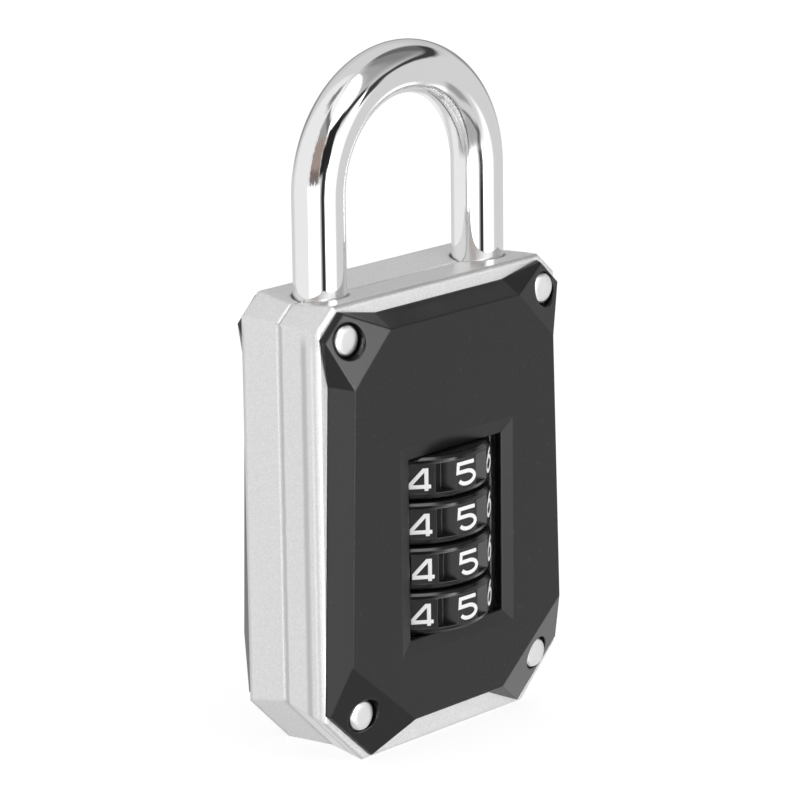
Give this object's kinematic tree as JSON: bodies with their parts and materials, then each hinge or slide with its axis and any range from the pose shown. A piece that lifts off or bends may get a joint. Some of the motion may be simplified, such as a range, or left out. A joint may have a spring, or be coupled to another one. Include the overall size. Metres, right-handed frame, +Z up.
{
  "type": "combination padlock",
  "caption": "Combination padlock: eight-sided silver body in two half shells, black faceted covers with corner rivets, a window of number dials and a round-bar shackle.",
  "frame": {"origin": "on the flat bottom face, at the seam between the half shells and midway across the width", "axes": "+Z up along the shackle's legs, the dials face -Y, +X to the right seen from the front"},
  "size_m": [0.0424, 0.0209, 0.0864],
  "materials": {
    "silver_shell": "fine-grained silver spray on die-cast zinc",
    "black_cover": "moulded black, fine matt grain",
    "rivet_steel": "satin, slightly turned",
    "shackle_chrome": "polished chrome plate on hardened steel",
    "spring_steel": "drawn spring wire and leaf",
    "inner_steel": "zinc-plated steel",
    "bush_brass": "turned brass",
    "dial_black": "moulded black, satin",
    "digit_white": "white numerals, printed on the pads",
    "hub_brass": "die-cast brass, as cast"
  },
  "bodies": {
    "case": {"front_shell": "silver_shell", "rear_shell": "silver_shell", "front_cover": "black_cover", "rear_cover": "black_cover", "cover_rivets": "rivet_steel", "case_rivets": "inner_steel", "upper_bush": "bush_brass", "lower_bush": "bush_brass", "detent_comb": "spring_steel", "shackle_spring": "spring_steel"},
    "shackle": {"shackle": "shackle_chrome"},
    "spindle": {"spindle": "inner_steel", "lift_plate": "inner_steel", "spindle_clip": "spring_steel"},
    "dial_1": {"dial_1": "dial_black", "hub_1": "hub_brass"},
    "dial_2": {"dial_2": "dial_black", "hub_2": "hub_brass"},
    "dial_3": {"dial_3": "dial_black", "hub_3": "hub_brass"},
    "dial_4": {"dial_4": "dial_black", "hub_4": "hub_brass"}
  },
  "joints": [
    {"name": "shackle_lift", "type": "slide", "parent": "case", "child": "shackle", "axis": [0, 0, 1], "range_m": [0, 0.00575], "deforming": ["shackle_spring"]},
    {"name": "spindle_lift", "type": "slide", "parent": "case", "child": "spindle", "axis": [0, 0, 1], "range_m": [0, 0.00575]},
    {"name": "dial_1_spin", "type": "hinge", "parent": "case", "child": "dial_1", "pos_m": [0, -0.0012, 0.03438], "axis": [0, 0, 1], "continuous": true},
    {"name": "dial_2_spin", "type": "hinge", "parent": "case", "child": "dial_2", "pos_m": [0, -0.0012, 0.02863], "axis": [0, 0, 1], "continuous": true},
    {"name": "dial_3_spin", "type": "hinge", "parent": "case", "child": "dial_3", "pos_m": [0, -0.0012, 0.02287], "axis": [0, 0, 1], "continuous": true},
    {"name": "dial_4_spin", "type": "hinge", "parent": "case", "child": "dial_4", "pos_m": [0, -0.0012, 0.01713], "axis": [0, 0, 1], "continuous": true}
  ],
  "couplings": [
    {"joint": "spindle_lift", "follows": "shackle_lift", "ratio": 1}
  ]
}
